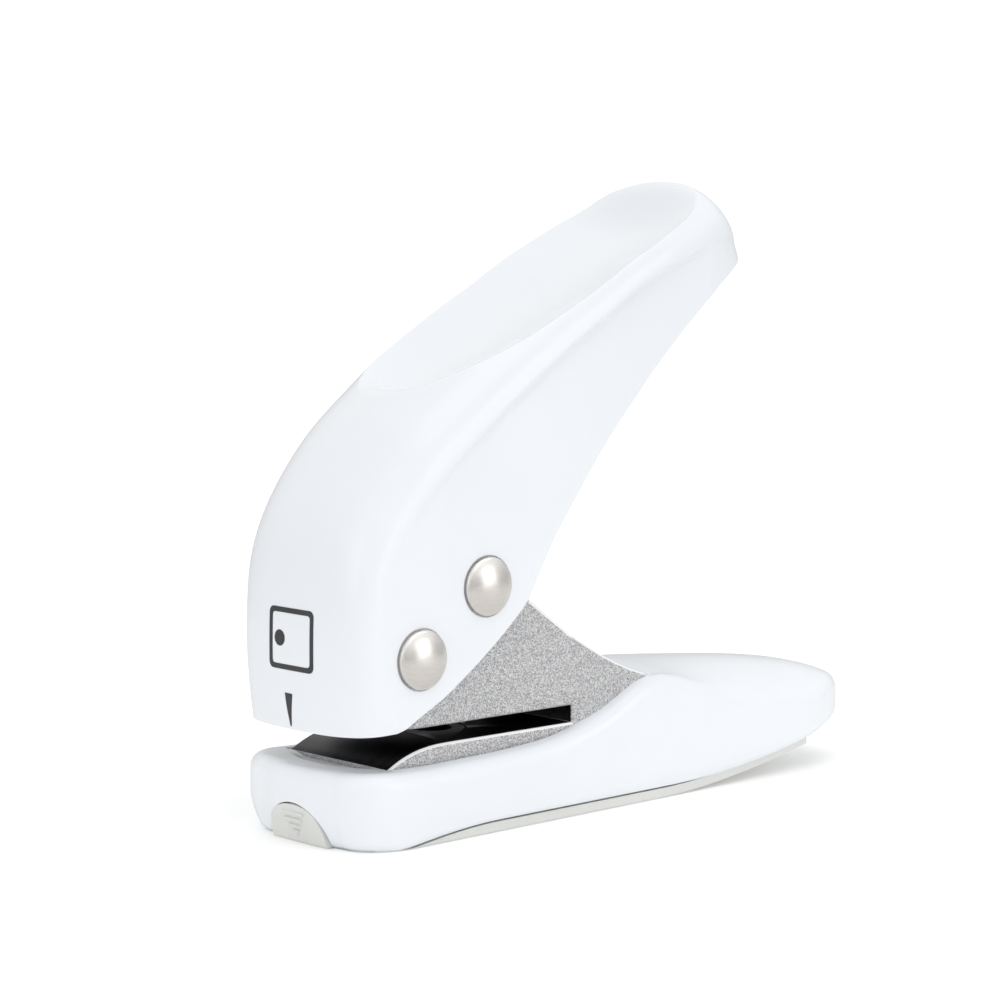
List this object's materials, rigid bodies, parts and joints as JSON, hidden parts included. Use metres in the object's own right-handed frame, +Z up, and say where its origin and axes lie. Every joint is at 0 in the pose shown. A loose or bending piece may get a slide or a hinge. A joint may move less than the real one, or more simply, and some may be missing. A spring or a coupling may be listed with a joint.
{
  "type": "single-hole paper punch",
  "caption": "Palm-grip single-hole paper punch: white lever handle over a silver punch frame in a white base with a chip door.",
  "frame": {"origin": "on the desk, under the middle of the base's length and width", "axes": "+X from the nose to the tail, +Z up from the desk, +Y across the punch to complete a right-handed set"},
  "size_m": [0.11, 0.0312, 0.0924],
  "materials": {
    "white_plastic": "glossy white moulded plastic",
    "silver_paint": "fine sand-textured silver paint",
    "satin_nickel": "satin nickel plate",
    "tool_steel": "ground tool steel",
    "zinc_steel": "bright zinc-plated steel",
    "spring_steel": "oiled spring wire",
    "nylon": "natural nylon",
    "clear_plastic": "milky translucent flexible plastic"
  },
  "bodies": {
    "base": {"base_shell": "white_plastic", "punch_frame": "silver_paint", "die_ring": "tool_steel", "guide_bush": "tool_steel", "frame_screw_front_left": "zinc_steel", "frame_screw_front_right": "zinc_steel", "frame_screw_rear": "zinc_steel", "pivot_pin": "satin_nickel", "pivot_cap": "satin_nickel", "cover_hinge_pin": "zinc_steel", "pivot_washer_left": "nylon", "pivot_washer_right": "nylon"},
    "handle": {"handle_shell": "white_plastic", "lever_channel": "zinc_steel", "drive_pin": "satin_nickel", "drive_cap": "satin_nickel"},
    "roller": {"drive_roller": "tool_steel"},
    "punch": {"punch_pin": "tool_steel", "punch_collar": "tool_steel", "return_spring": "spring_steel"},
    "cover": {"chip_cover": "clear_plastic"}
  },
  "joints": [
    {"name": "handle_press", "type": "hinge", "parent": "base", "child": "handle", "pos_m": [-0.0426, 0, 0.0265], "axis": [0, 1, 0], "range_deg": [0, 20], "stiffness_Nm_per_rad": 0.22, "springref_deg": -19.48},
    {"name": "punch_travel", "type": "slide", "parent": "base", "child": "punch", "axis": [0, 0, -1], "range_m": [0, 0.0048], "deforming": ["return_spring"]},
    {"name": "roller_spin", "type": "hinge", "parent": "handle", "child": "roller", "pos_m": [-0.03032, 0, 0.03579], "axis": [0, 1, 0], "continuous": true},
    {"name": "cover_open", "type": "hinge", "parent": "base", "child": "cover", "pos_m": [0.044, 0, 0.0074], "axis": [0, -1, 0], "range_deg": [0, 50]}
  ],
  "couplings": [
    {"joint": "punch_travel", "follows": "handle_press", "m_per_rad": 0.01364}
  ]
}
